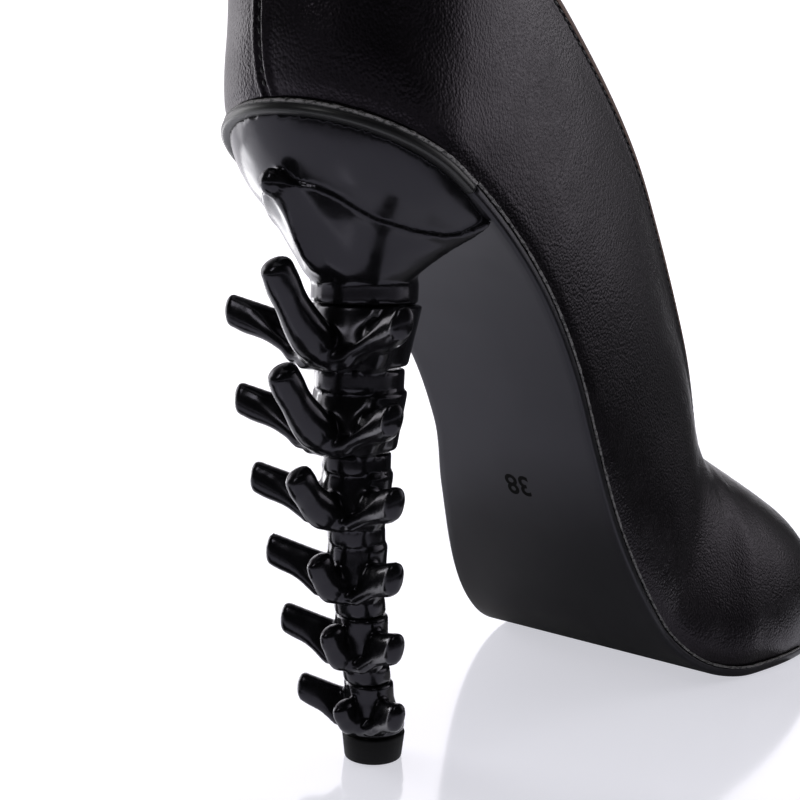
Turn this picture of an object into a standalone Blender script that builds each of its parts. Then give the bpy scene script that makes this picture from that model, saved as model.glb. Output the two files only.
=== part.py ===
"""Peep-toe pump, one left shoe of size 38, standing on a moulded heel shaped as a spine.

Tables and sizes are in millimetres and the meshes in metres. +X points to the toe, +Z up,
and -Y is the inner side of the left foot. Stations are measured along the sole's top face,
from the back of the seat to the toe.
"""
import math

import bmesh
import bpy
import numpy as np
from mathutils import Matrix, Vector

# Driving sizes
MM = 0.001
SOLE_LENGTH = 253.0
SEAT_HEIGHT = 129.4
SOLE_THICK = 2.4
RAND_THICK = 3.0
RAND_WIDTH = 2.8
RAND_JOINT = 31.0
WALL = 1.7
GAP = 0.3
INSOLE_THICK = 1.8
HEEL_ROUND = 25.8
TOE_ROUND = 40.0
THROAT_START = 150.0
THROAT = 186.0
CUP_INSET = 1.3
CUP_FRONT = 40.0
CALYX_PROUD = 1.1
COLLAR_Z = 95.6
COLLAR_RADIUS = 10.5
TIP_X = 31.9
TIP_HEIGHT = 5.4
TIP_RADIUS_LOW = 5.9
TIP_RADIUS_TOP = 6.5

# Slope of the sole: station, degrees downwards to the toe
SLOPE = np.array([
    (0.0, 21.6), (14.0, 25.0), (28.0, 30.0), (42.0, 36.0), (56.0, 43.0), (70.0, 50.0),
    (84.0, 56.0), (100.0, 60.0), (127.0, 59.0), (141.0, 57.0), (155.0, 53.0), (167.0, 42.0),
    (178.0, 20.0), (187.0, 6.0), (195.0, 0.0), (214.0, 0.0), (253.0, -9.0),
])

# Outline of the sole: station, inner half width, outer half width, swing of the middle line
OUTLINE = np.array([
    (0.0, 25.7, 25.7, 0.0),
    (30.0, 25.7, 25.7, 0.0),
    (60.0, 25.6, 21.8, 0.0),
    (84.0, 25.0, 18.0, 0.0),
    (100.0, 24.2, 18.8, 0.0),
    (121.0, 23.6, 24.2, 0.0),
    (158.0, 26.6, 32.6, 0.0),
    (175.0, 32.0, 34.2, 0.0),
    (190.0, 37.0, 35.6, -0.2),
    (206.0, 38.6, 37.0, -1.0),
    (226.0, 36.4, 35.4, -3.0),
    (253.0, 32.0, 32.0, -6.0),
])

# Last above the sole: station, forward lean in degrees, crown height, shoulder share,
# side bulge, height of the topline
LAST = np.array([
    (0.0, 0.0, 100.0, 0.55, 4.0, 53.0),
    (30.0, 4.0, 98.0, 0.55, 4.0, 51.0),
    (60.0, 14.0, 93.0, 0.56, 4.0, 51.5),
    (98.0, 31.0, 86.0, 0.57, 4.5, 54.5),
    (130.0, 40.0, 77.0, 0.58, 4.5, 55.0),
    (160.0, 34.0, 65.0, 0.60, 3.5, 54.0),
    (190.0, 18.0, 53.0, 0.62, 2.5, 53.0),
    (225.0, 6.0, 38.0, 0.68, 2.0, 38.0),
    (240.0, 2.0, 31.0, 0.70, 2.0, 31.0),
    (249.0, 0.0, 25.0, 0.72, 2.0, 25.0),
    (253.0, 0.0, 19.0, 0.72, 2.0, 19.0),
])

# Back of the counter: height above the seat, how far it stands behind the seat edge
COUNTER = np.array([
    (0.0, 0.0), (12.0, 1.2), (24.0, 0.9), (40.0, -2.0), (60.0, -8.0), (100.0, -24.0),
])

# Peep toe: half width, rise above the insole, depth back from the toe
PEEP_HALF_WIDTH = 15.0
PEEP_RISE = 13.0
PEEP_DEPTH = 30.0

# Bulb of the heel: share of the way down, share of the way in to the collar
BULB = np.array([
    (0.0, 0.0), (0.15, 0.09), (0.3, 0.24), (0.42, 0.42), (0.56, 0.64), (0.75, 0.79),
    (0.9, 0.88), (1.0, 1.0),
])

# Middle line of the heel's column: height, X
AXIS = np.array([
    (0.0, 31.9), (5.4, 31.8), (18.3, 29.4), (32.8, 27.0), (47.7, 25.6), (62.4, 25.2),
    (78.6, 25.6), (95.6, 26.7), (110.0, 27.0),
])

# Vertebrae from the top: height of the disc above, its radius, half its height,
# height of the body's waist, waist radius
DISCS = np.array([
    (95.6, 10.5, 2.3, 86.5, 8.0),
    (78.6, 8.85, 2.1, 69.5, 6.4),
    (62.4, 6.85, 1.9, 54.6, 5.2),
    (47.7, 5.75, 1.8, 39.8, 4.7),
    (32.8, 5.15, 1.7, 25.3, 4.3),
    (18.3, 4.85, 1.6, 12.2, 4.4),
])

# Rear horns: root height, tip X, tip height, root half height, root half width,
# tip half height, tip half width
HORNS = np.array([
    (106.0, 0.6, 115.4, 6.0, 4.0, 2.6, 2.4),
    (85.5, 2.6, 100.0, 5.5, 3.6, 3.2, 2.5),
    (68.5, 4.4, 80.2, 5.2, 3.2, 3.2, 2.3),
    (53.2, 8.2, 60.2, 4.8, 2.8, 3.0, 2.1),
    (38.4, 14.0, 43.4, 4.6, 2.6, 3.0, 1.9),
    (24.2, 17.6, 28.6, 4.4, 2.4, 2.9, 1.8),
    (10.6, 21.4, 13.4, 4.0, 2.3, 2.8, 1.8),
])

# Side wings: root height, tip X, tip Y, tip height, root half height, root half width,
# tip half height, tip half width
WINGS = np.array([
    (86.0, 11.8, 22.6, 91.6, 5.0, 4.6, 2.9, 2.4),
    (69.0, 12.3, 20.4, 74.2, 4.8, 4.0, 3.0, 2.3),
    (54.8, 15.2, 18.8, 57.8, 4.2, 3.4, 2.9, 2.1),
    (40.2, 17.8, 16.9, 42.9, 4.0, 3.0, 2.9, 2.0),
    (25.8, 20.5, 15.3, 28.4, 3.8, 2.8, 2.9, 1.9),
    (11.8, 23.6, 13.4, 13.4, 3.6, 2.6, 2.8, 1.9),
])

# Horn rings: share of the length, share of the size
HORN_RINGS = (
    (0.0, 1.0), (0.3, 1.0), (0.55, 1.0), (0.78, 1.0), (0.92, 0.9), (0.98, 0.62), (1.0, 0.3),
)


# Tables and curves
def smooth(table, column, at):
    """Value of a table's column at a place in its first column, by a monotone cubic."""
    xs = table[:, 0]
    ys = table[:, column]
    step = np.diff(xs)
    rise = np.diff(ys) / step
    same = rise[:-1] * rise[1:] > 0
    total = np.where(same, rise[:-1] + rise[1:], 1.0)
    tangent = np.empty(len(xs))
    tangent[1:-1] = np.where(same, 2 * rise[:-1] * rise[1:] / total, 0.0)
    tangent[0] = rise[0]
    tangent[-1] = rise[-1]
    at = np.clip(at, xs[0], xs[-1])
    i = np.clip(np.searchsorted(xs, at) - 1, 0, len(step) - 1)
    t = (at - xs[i]) / step[i]
    start = ys[i] * (1 + 2 * t) * (1 - t) ** 2 + tangent[i] * step[i] * t * (1 - t) ** 2
    end = ys[i + 1] * t * t * (3 - 2 * t) + tangent[i + 1] * step[i] * t * t * (t - 1)
    return start + end


def sole_path(gain):
    """Station, X, Z and slope along the sole's top face, with the tread on the floor."""
    station = np.linspace(0.0, SOLE_LENGTH, 507)
    slope = np.radians(smooth(SLOPE, 1, station)) * gain
    middle = (slope[1:] + slope[:-1]) / 2
    step = station[1] - station[0]
    x = np.concatenate(([0.0], np.cumsum(np.cos(middle) * step)))
    z = -np.concatenate(([0.0], np.cumsum(np.sin(middle) * step)))
    z += SOLE_THICK - z.min()
    return station, x, z, slope


def fitted_path():
    """The sole path whose seat stands at the seat height."""
    low = 0.7
    high = 1.3
    for _ in range(40):
        gain = (low + high) / 2
        if sole_path(gain)[2][0] < SEAT_HEIGHT:
            low = gain
        else:
            high = gain
    return sole_path(gain)


PATH_S, PATH_X, PATH_Z, PATH_SLOPE = fitted_path()


def on_sole(station, y, above):
    """Point over the sole's top face, square to it."""
    x = np.interp(station, PATH_S, PATH_X)
    z = np.interp(station, PATH_S, PATH_Z)
    slope = np.interp(station, PATH_S, PATH_SLOPE)
    return Vector((x + above * math.sin(slope), y, z + above * math.cos(slope)))


def end_round(station):
    """Share of the width that the round seat and toe leave at a station."""
    if station < HEEL_ROUND:
        return math.sqrt(max(0.0, 1 - (1 - station / HEEL_ROUND) ** 2))
    start = SOLE_LENGTH - TOE_ROUND
    if station > start:
        return max(0.0, 1 - ((station - start) / TOE_ROUND) ** 2.4) ** (1 / 2.4)
    return 1.0


def half_width(side, station, inset=0.0):
    """Half width of the sole on the inner (-1) or outer (+1) side, drawn in by an inset."""
    share = (station - inset) / (SOLE_LENGTH - 2 * inset)
    own = min(max(share, 0.0), 1.0) * SOLE_LENGTH
    width = smooth(OUTLINE, 1 if side < 0 else 2, station) - inset
    return max(width, 0.0) * end_round(own)


def swing(station):
    """Sideways place of the sole's middle line."""
    return smooth(OUTLINE, 3, station)


def spread(start, end, count, ease="even"):
    """Stations between two ends, closer together at an eased end."""
    turn = np.linspace(0.0, 1.0, count + 1)
    if ease == "start":
        turn = 1 - np.cos(turn * math.pi / 2)
    if ease == "end":
        turn = np.sin(turn * math.pi / 2)
    return [start + (end - start) * share for share in turn]


def join(*runs):
    """One list of stations from runs that share their ends."""
    stations = list(runs[0])
    for run in runs[1:]:
        stations += run[1:]
    return stations


# Scene, materials and meshes
for old in list(bpy.data.objects):
    bpy.data.objects.remove(old)

PARTS = bpy.data.collections.new("pump_parts")
CUTTERS = bpy.data.collections.new("pump_cutters")
bpy.context.scene.collection.children.link(PARTS)
bpy.context.scene.collection.children.link(CUTTERS)


def material(name, colour, roughness):
    """Principled material of one sub-part."""
    made = bpy.data.materials.new(name)
    made.use_nodes = True
    shader = made.node_tree.nodes["Principled BSDF"]
    shader.inputs["Base Color"].default_value = (*colour, 1.0)
    shader.inputs["Roughness"].default_value = roughness
    return made


def add_object(name, points, faces, surface=None, collection=PARTS):
    """Named object from points in millimetres, with coincident points joined."""
    mesh = bpy.data.meshes.new(name)
    mesh.from_pydata([Vector(p) * MM for p in points], [], faces)
    work = bmesh.new()
    work.from_mesh(mesh)
    bmesh.ops.remove_doubles(work, verts=work.verts, dist=2e-6)
    bmesh.ops.dissolve_degenerate(work, edges=work.edges, dist=1e-6)
    work.to_mesh(mesh)
    work.free()
    made = bpy.data.objects.new(name, mesh)
    collection.objects.link(made)
    if surface:
        mesh.materials.append(surface)
    return made


def grid_faces(columns, rows, first=0, flip=False):
    """Quads of a grid whose points run row by row inside each column."""
    faces = []
    for i in range(columns - 1):
        for j in range(rows - 1):
            a = first + i * rows + j
            quad = (a, a + rows, a + rows + 1, a + 1)
            faces.append(quad[::-1] if flip else quad)
    return faces


def solidify(target, thickness, offset):
    """Give a sheet its thickness, to one side of it."""
    shell = target.modifiers.new("thickness", "SOLIDIFY")
    shell.thickness = thickness * MM
    shell.offset = offset
    shell.use_even_offset = True
    shell.use_quality_normals = True


def boolean(target, tool, operation):
    """Exact Boolean of a target with a tool kept in the cutters collection."""
    step = target.modifiers.new(operation.lower(), "BOOLEAN")
    step.operation = operation
    step.solver = "EXACT"
    step.object = tool
    tool.hide_render = True
    tool.display_type = "WIRE"


# Upper
UPPER_STATIONS = join(
    spread(0.0, HEEL_ROUND, 7, "start"),
    spread(HEEL_ROUND, THROAT_START, 10),
    spread(THROAT_START, THROAT, 7, "end"),
    spread(THROAT, SOLE_LENGTH - TOE_ROUND, 3),
    spread(SOLE_LENGTH - TOE_ROUND, SOLE_LENGTH, 9, "end"),
)
UPPER_ROWS = 11


def rise_share(share):
    """Height of a section's curve as a share of its crown."""
    rest = 1 - share
    return 3 * 0.45 * rest ** 2 * share + 3 * rest * share ** 2 + share ** 3


def top_share(station):
    """Where the topline cuts a section: 1 is the crown."""
    if station >= THROAT:
        return 1.0
    target = smooth(LAST, 5, station) / smooth(LAST, 2, station)
    shares = np.linspace(0.0, 1.0, 201)
    edge = float(np.interp(target, rise_share(shares), shares))
    turn = max(0.0, (station - THROAT_START) / (THROAT - THROAT_START))
    return 1 - (1 - edge) * math.sqrt(max(0.0, 1 - turn ** 3))


def last_point(side, station, share):
    """Point of the upper's outer face at a station, from feather edge (0) to crown (1)."""
    lean = math.radians(smooth(LAST, 1, station))
    crown = smooth(LAST, 2, station)
    base = half_width(side, station)
    knee = base + smooth(LAST, 4, station) * end_round(station)
    shoulder = base * smooth(LAST, 3, station)
    rest = 1 - share
    y = base * rest ** 3 + 3 * knee * rest ** 2 * share + 3 * shoulder * rest * share ** 2
    z = crown * rise_share(share)
    back = max(0.0, 1 - station / HEEL_ROUND) ** 1.5 * smooth(COUNTER, 1, z)
    foot = on_sole(station, swing(station) + side * y, GAP)
    return foot + Vector((z * math.sin(lean) - back, 0.0, z * math.cos(lean)))


def upper_sheet():
    """Outer face of the upper as points and faces, both sides of the foot."""
    points = []
    faces = []
    rows = UPPER_ROWS + 1
    for side in (-1, 1):
        faces += grid_faces(len(UPPER_STATIONS), rows, len(points), flip=side > 0)
        for station in UPPER_STATIONS:
            top = top_share(station)
            for j in range(rows):
                points.append(last_point(side, station, top * j / UPPER_ROWS))
    return points, faces


upper = add_object("upper", *upper_sheet(), material("upper_leather", (0.012, 0.012, 0.013), 0.45))
solidify(upper, WALL, -1.0)

toe = on_sole(SOLE_LENGTH, swing(SOLE_LENGTH), 0.0)
bpy.ops.mesh.primitive_cylinder_add(vertices=40, radius=1.0, depth=2.0)
peep = bpy.context.object
peep.name = "peep_toe_cutter"
for owner in list(peep.users_collection):
    owner.objects.unlink(peep)
CUTTERS.objects.link(peep)
stretch = Matrix.Diagonal((PEEP_RISE * MM, PEEP_HALF_WIDTH * MM, PEEP_DEPTH * MM / 2, 1.0))
place = Matrix.Translation(toe * MM) @ Matrix.Rotation(math.radians(90.0), 4, "Y")
peep.data.transform(place @ stretch)
boolean(upper, peep, "DIFFERENCE")


# Outsole and insole
def sole_sheet(stations, side_width, across, above):
    """Sheet over the sole from stations and a width function of side and station."""
    points = []
    for station in stations:
        for j in range(across + 1):
            place_y = 2 * j / across - 1
            side = -1 if place_y < 0 else 1
            y = swing(station) + place_y * side_width(side, station)
            points.append(on_sole(station, y, above))
    return points, grid_faces(len(stations), across + 1)


def outsole_width(side, station):
    """Half width of the outsole: a narrow tongue inside the rand, then the full sole."""
    if station <= RAND_JOINT:
        return half_width(side, station, RAND_WIDTH + GAP)
    return half_width(side, station)


def insole_width(side, station):
    """Half width of the insole, clear of the upper's wall."""
    return half_width(side, station, WALL + 2 * GAP)


TONGUE_BACK = RAND_WIDTH + GAP
outsole_stations = join(
    spread(TONGUE_BACK, HEEL_ROUND, 7, "start"),
    spread(HEEL_ROUND, RAND_JOINT, 1),
    spread(RAND_JOINT, RAND_JOINT + 0.5, 1),
    spread(RAND_JOINT + 0.5, 214.0, 26),
    spread(214.0, SOLE_LENGTH, 9, "end"),
)
outsole = add_object(
    "outsole",
    *sole_sheet(outsole_stations, outsole_width, 6, 0.0),
    material("sole_satin", (0.02, 0.02, 0.021), 0.35),
)
solidify(outsole, SOLE_THICK, -1.0)

INSOLE_EDGE = WALL + 2 * GAP
insole_stations = join(
    spread(INSOLE_EDGE, HEEL_ROUND, 6, "start"),
    spread(HEEL_ROUND, SOLE_LENGTH - TOE_ROUND, 18),
    spread(SOLE_LENGTH - TOE_ROUND, SOLE_LENGTH - INSOLE_EDGE, 8, "end"),
)
insole = add_object(
    "insole",
    *sole_sheet(insole_stations, insole_width, 6, GAP),
    material("insole_lining", (0.03, 0.028, 0.027), 0.6),
)
solidify(insole, INSOLE_THICK, 1.0)


# Rand round the seat
def rand_sheet():
    """Band round the seat between the sole's edge and the outsole's tongue."""
    points = []
    half = spread(0.0, HEEL_ROUND, 9, "start") + [RAND_JOINT - GAP]
    walk = [(-1, s) for s in half[::-1]] + [(1, s) for s in half[1:]]
    for side, station in walk:
        drawn = max(station, RAND_WIDTH + (1 - RAND_WIDTH / HEEL_ROUND) * station)
        if station > HEEL_ROUND:
            drawn = station
        points.append(on_sole(station, side * half_width(side, station), 0.0))
        points.append(on_sole(drawn, side * half_width(side, drawn, RAND_WIDTH), 0.0))
    return points, grid_faces(len(walk), 2, flip=True)


rand = add_object("seat_rand", *rand_sheet(), material("rand_edge", (0.016, 0.016, 0.017), 0.4))
solidify(rand, RAND_THICK, -1.0)


# Heel
def bulb_outline():
    """Top edge of the heel's bulb under the seat, round the back and across the breast."""
    below = -RAND_THICK - GAP
    half = spread(CUP_INSET, HEEL_ROUND, 7, "start") + [33.0, CUP_FRONT]
    edge = [(-1, s) for s in half[::-1]] + [(1, s) for s in half[1:]]
    points = [on_sole(s, side * half_width(side, s, CUP_INSET), below) for side, s in edge]
    width = half_width(1, CUP_FRONT, CUP_INSET)
    for share in (0.6, 0.2, -0.2, -0.6):
        points.append(on_sole(CUP_FRONT - 1.5 * (1 - share ** 2), share * width, below))
    return points


def ridge_share(angle):
    """How far down the bulb the calyx begins, by the angle from straight back."""
    turn = abs(angle) / math.pi
    return 0.5 - 0.07 * min(1.0, turn / 0.5) - 0.36 * max(0.0, (turn - 0.5) / 0.5) ** 1.5


def bulb():
    """The heel's bulb: a loft from the seat's outline to the round collar, with the calyx step."""
    top = bulb_outline()
    middle = Vector((float(smooth(AXIS, 1, COLLAR_Z)), 0.0, COLLAR_Z + 1.5))
    columns = []
    for point in top:
        angle = math.atan2(point.y, 22.0 - point.x)
        out = Vector((-math.cos(angle), math.sin(angle), 0.0))
        collar = middle + out * (COLLAR_RADIUS - 0.6)
        ridge = ridge_share(angle)
        column = []
        levels = [(ridge * k / 3, 0.0) for k in range(3)] + [(ridge - 0.03, 0.1)]
        levels += [(ridge, CALYX_PROUD)]
        levels += [(ridge + (1 - ridge) * k / 4, CALYX_PROUD * (1 - k / 4)) for k in range(1, 5)]
        for share, proud in levels:
            front = max(0.0, (abs(angle) / math.pi - 0.45) / 0.55)
            pull = smooth(BULB, 1, share) * (1 - front) + share ** 1.5 * front
            flat = point.lerp(collar, pull)
            height = point.z + (collar.z - point.z) * share
            column.append(Vector((flat.x, flat.y, height)) + out * proud)
        columns.append(column)
    rows = len(columns[0])
    points = [p for column in columns + columns[:1] for p in column]
    faces = grid_faces(len(columns) + 1, rows)
    faces.append(tuple(rows * k for k in range(len(columns))))
    faces.append(tuple(rows * k + rows - 1 for k in reversed(range(len(columns)))))
    return points, faces


def column_profile():
    """Heights and radii of the column, from inside the bulb down to the top piece."""
    rings = [(COLLAR_Z + 4.0, COLLAR_RADIUS - 1.6), (COLLAR_Z + 2.3, COLLAR_RADIUS - 0.5)]
    for place, radius, half, waist, thin in DISCS:
        rings.append((place + half - 0.6, radius))
        rings.append((place - half + 0.6, radius))
        rings.append((place - half, radius - 0.7))
        rings.append((place - half - 1.2, (radius + thin) / 2))
        rings.append((waist, thin))
        rings.append((waist - 3.6, thin + 0.25))
    rings = [ring for ring in rings if ring[0] > 9.4]
    rings += [(9.0, 5.2), (7.4, 6.4), (6.4, TIP_RADIUS_TOP), (TIP_HEIGHT + GAP, TIP_RADIUS_TOP)]
    return rings


def column(sides=18):
    """The turned column on its curved middle line."""
    points = []
    rings = column_profile()
    for j in range(sides + 1):
        angle = 2 * math.pi * (j % sides) / sides
        for z, radius in rings:
            x = float(smooth(AXIS, 1, z))
            points.append(Vector((x - radius * math.cos(angle), radius * math.sin(angle), z)))
    rows = len(rings)
    faces = grid_faces(sides + 1, rows, flip=True)
    faces.append(tuple(rows * k for k in reversed(range(sides))))
    faces.append(tuple(rows * k + rows - 1 for k in range(sides)))
    return points, faces


def process(root, bend, tip, root_size, tip_size, sides=8):
    """A blunt finger from its root over a bend to a rounded tip; sizes are half height, half width."""
    points = []
    for t, end in HORN_RINGS:
        centre = root * (1 - t) ** 2 + bend * 2 * t * (1 - t) + tip * t * t
        along = ((bend - root) * (1 - t) + (tip - bend) * t).normalized()
        aside = along.cross(Vector((0.0, 0.0, 1.0))).normalized()
        upward = aside.cross(along)
        high = (root_size[0] + (tip_size[0] - root_size[0]) * t) * end
        broad = (root_size[1] + (tip_size[1] - root_size[1]) * t) * end
        for j in range(sides):
            angle = 2 * math.pi * j / sides
            points.append(centre + aside * broad * math.cos(angle) + upward * high * math.sin(angle))
    rings = len(HORN_RINGS)
    faces = []
    for i in range(rings - 1):
        for j in range(sides):
            a = i * sides + j
            b = i * sides + (j + 1) % sides
            faces.append((a, b, b + sides, a + sides))
    faces.append(tuple(reversed(range(sides))))
    faces.append(tuple((rings - 1) * sides + j for j in range(sides)))
    return points, faces


def outward(target):
    """Turn a closed mesh's faces outwards."""
    work = bmesh.new()
    work.from_mesh(target.data)
    bmesh.ops.recalc_face_normals(work, faces=work.faces)
    work.to_mesh(target.data)
    work.free()


heel = add_object("heel", *bulb(), material("heel_gloss", (0.006, 0.006, 0.007), 0.12))
outward(heel)

tools = [add_object("heel_column", *column(), collection=CUTTERS)]
for k, (low, tip_x, tip_z, *sizes) in enumerate(HORNS):
    root = Vector((float(smooth(AXIS, 1, low)) - 1.0, 0.0, low))
    tip = Vector((tip_x, 0.0, tip_z))
    bend = Vector((root.x + (tip.x - root.x) * 0.6, 0.0, low + (tip_z - low) * 0.36))
    shape = process(root, bend, tip, sizes[:2], sizes[2:])
    tools.append(add_object(f"heel_horn_{k}", *shape, collection=CUTTERS))
for k, (low, tip_x, tip_y, tip_z, *sizes) in enumerate(WINGS):
    for side in (-1, 1):
        root = Vector((float(smooth(AXIS, 1, low)), side * 0.5, low))
        tip = Vector((tip_x, side * tip_y, tip_z))
        bend = root.lerp(tip, 0.6)
        bend.z = low + (tip_z - low) * 0.35
        shape = process(root, bend, tip, sizes[:2], sizes[2:])
        tools.append(add_object(f"heel_wing_{k}_{side}", *shape, collection=CUTTERS))
for tool in tools:
    outward(tool)
    boolean(heel, tool, "UNION")


# Top piece under the heel
bpy.ops.mesh.primitive_cone_add(
    vertices=28,
    radius1=TIP_RADIUS_LOW * MM,
    radius2=TIP_RADIUS_TOP * MM,
    depth=TIP_HEIGHT * MM,
    location=(TIP_X * MM, 0.0, TIP_HEIGHT * MM / 2),
)
top_piece = bpy.context.object
top_piece.name = "top_piece"
for owner in list(top_piece.users_collection):
    owner.objects.unlink(top_piece)
PARTS.objects.link(top_piece)
top_piece.data.materials.append(material("top_piece_rubber", (0.02, 0.02, 0.02), 0.7))

# Origin under the middle of the whole shoe
bpy.context.view_layer.update()
graph = bpy.context.evaluated_depsgraph_get()
corners = []
for part in PARTS.objects:
    seen = part.evaluated_get(graph)
    corners += [seen.matrix_world @ Vector(corner) for corner in seen.bound_box]
middle_x = (min(c.x for c in corners) + max(c.x for c in corners)) / 2
middle_y = (min(c.y for c in corners) + max(c.y for c in corners)) / 2
for made in list(PARTS.objects) + list(CUTTERS.objects):
    made.location.x -= middle_x
    made.location.y -= middle_y
bpy.context.view_layer.update()
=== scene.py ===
"""Looks of the peep-toe pump with a spine heel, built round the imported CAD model.

Sizes and tables are in millimetres, in the shoe's own frame: X from the back of the seat to the
toe, -Y to the inner side of the left foot, Z up from the floor. on_row() takes them to the row
frame in metres. Stations run along the sole's top face from the back of the seat to the toe.
"""
import math

import bmesh
import bpy
import numpy as np
from mathutils import Matrix, Vector
from mathutils.kdtree import KDTree

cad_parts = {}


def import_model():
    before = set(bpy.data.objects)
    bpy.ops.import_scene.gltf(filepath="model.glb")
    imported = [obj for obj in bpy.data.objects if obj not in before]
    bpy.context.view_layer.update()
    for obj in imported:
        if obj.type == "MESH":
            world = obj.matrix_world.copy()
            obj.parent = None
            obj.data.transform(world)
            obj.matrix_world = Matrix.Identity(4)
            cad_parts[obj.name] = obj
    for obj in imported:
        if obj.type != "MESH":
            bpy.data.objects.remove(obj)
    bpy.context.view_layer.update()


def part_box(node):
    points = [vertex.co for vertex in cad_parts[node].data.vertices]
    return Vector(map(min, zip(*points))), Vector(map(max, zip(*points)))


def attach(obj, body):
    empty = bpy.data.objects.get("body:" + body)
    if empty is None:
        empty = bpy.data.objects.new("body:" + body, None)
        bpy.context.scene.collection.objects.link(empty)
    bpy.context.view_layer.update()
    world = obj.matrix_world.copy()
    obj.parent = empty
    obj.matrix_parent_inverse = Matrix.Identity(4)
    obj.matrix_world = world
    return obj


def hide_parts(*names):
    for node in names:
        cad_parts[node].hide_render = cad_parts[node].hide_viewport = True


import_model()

# Driving sizes, as in the CAD source
MM = 0.001
SOLE_LENGTH = 253.0
SEAT_HEIGHT = 129.4
SOLE_THICK = 2.4
RAND_THICK = 3.0
RAND_WIDTH = 2.8
RAND_JOINT = 31.0
WALL = 1.7
GAP = 0.3
INSOLE_THICK = 1.8
INSOLE_EDGE = WALL + 2 * GAP
HEEL_ROUND = 25.8
TOE_ROUND = 40.0
THROAT_START = 150.0
THROAT = 186.0
CUP_INSET = 1.3
CUP_FRONT = 40.0
COLLAR_Z = 95.6
COLLAR_RADIUS = 10.5
TIP_X = 31.9
TIP_HEIGHT = 5.4
TIP_RADIUS_LOW = 5.9
TIP_RADIUS_TOP = 6.5
PEEP_HALF_WIDTH = 15.0
PEEP_RISE = 13.0

# Slope of the sole: station, degrees downwards to the toe
SLOPE = np.array([
    (0.0, 21.6), (14.0, 25.0), (28.0, 30.0), (42.0, 36.0), (56.0, 43.0), (70.0, 50.0),
    (84.0, 56.0), (100.0, 60.0), (127.0, 59.0), (141.0, 57.0), (155.0, 53.0), (167.0, 42.0),
    (178.0, 20.0), (187.0, 6.0), (195.0, 0.0), (214.0, 0.0), (253.0, -9.0),
])

# Outline of the sole: station, inner half width, outer half width, swing of the middle line
OUTLINE = np.array([
    (0.0, 25.7, 25.7, 0.0),
    (30.0, 25.7, 25.7, 0.0),
    (60.0, 25.6, 21.8, 0.0),
    (84.0, 25.0, 18.0, 0.0),
    (100.0, 24.2, 18.8, 0.0),
    (121.0, 23.6, 24.2, 0.0),
    (158.0, 26.6, 32.6, 0.0),
    (175.0, 32.0, 34.2, 0.0),
    (190.0, 37.0, 35.6, -0.2),
    (206.0, 38.6, 37.0, -1.0),
    (226.0, 36.4, 35.4, -3.0),
    (253.0, 32.0, 32.0, -6.0),
])

# Last above the sole: station, lean in degrees, crown height, shoulder share, side bulge, topline height
LAST = np.array([
    (0.0, 0.0, 100.0, 0.55, 4.0, 53.0),
    (30.0, 4.0, 98.0, 0.55, 4.0, 51.0),
    (60.0, 14.0, 93.0, 0.56, 4.0, 51.5),
    (98.0, 31.0, 86.0, 0.57, 4.5, 54.5),
    (130.0, 40.0, 77.0, 0.58, 4.5, 55.0),
    (160.0, 34.0, 65.0, 0.60, 3.5, 54.0),
    (190.0, 18.0, 53.0, 0.62, 2.5, 53.0),
    (225.0, 6.0, 38.0, 0.68, 2.0, 38.0),
    (240.0, 2.0, 31.0, 0.70, 2.0, 31.0),
    (249.0, 0.0, 25.0, 0.72, 2.0, 25.0),
    (253.0, 0.0, 19.0, 0.72, 2.0, 19.0),
])

# Back of the counter: height above the seat, how far it stands behind the seat edge
COUNTER = np.array([
    (0.0, 0.0), (12.0, 1.2), (24.0, 0.9), (40.0, -2.0), (60.0, -8.0), (100.0, -24.0),
])

# Bulb of the heel: share of the way down, share of the way in to the collar
BULB = np.array([
    (0.0, 0.0), (0.15, 0.09), (0.3, 0.24), (0.42, 0.42), (0.56, 0.64), (0.75, 0.79),
    (0.9, 0.88), (1.0, 1.0),
])

# Middle line of the heel's column: height, X
AXIS = np.array([
    (0.0, 31.9), (5.4, 31.8), (18.3, 29.4), (32.8, 27.0), (47.7, 25.6), (62.4, 25.2),
    (78.6, 25.6), (95.6, 26.7), (110.0, 27.0),
])

# Vertebrae from the top: height of the disc above, its radius, half its height, foot of the body
DISCS = np.array([
    (95.6, 10.5, 2.3, 81.2),
    (78.6, 8.85, 2.1, 64.8),
    (62.4, 6.85, 1.9, 49.8),
    (47.7, 5.75, 1.8, 34.8),
    (32.8, 5.15, 1.7, 20.3),
    (18.3, 4.85, 1.6, 6.6),
])

# Rear horns: tip X, tip height, root half height, root half width, tip half height, tip half width
HORNS = np.array([
    (1.6, 100.6, 4.2, 4.4, 3.3, 2.9), (3.4, 81.4, 4.0, 4.0, 3.2, 2.7), (7.8, 61.8, 3.7, 3.4, 3.0, 2.3),
    (13.6, 44.6, 3.4, 2.8, 2.9, 1.9), (17.4, 29.8, 3.2, 2.4, 2.8, 1.75), (21.2, 13.6, 3.0, 2.2, 2.6, 1.65),
])

# Side wings: tip X, tip Y, tip height, root half width, tip half height, tip half width
WINGS = np.array([
    (11.8, 22.6, 91.0, 3.4, 3.2, 2.1),
    (12.3, 20.4, 73.7, 3.0, 3.2, 2.0),
    (15.2, 18.8, 57.8, 2.7, 3.2, 2.0),
    (17.8, 16.9, 42.9, 2.4, 3.2, 1.9),
    (20.5, 15.3, 28.4, 2.2, 3.1, 1.85),
    (23.6, 13.4, 13.4, 2.1, 2.9, 1.8),
])
WING_LEAN = math.radians(12.0)
WING_RISE = 0.3
WING_ROOT = 0.5

# Blade under a wing: how far out it hangs to the foot, in radii, on wide and on narrow vertebrae
WIDE_RADIUS = 8.0
WIDE_HANG = 1.2
NARROW_HANG = 1.58

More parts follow.
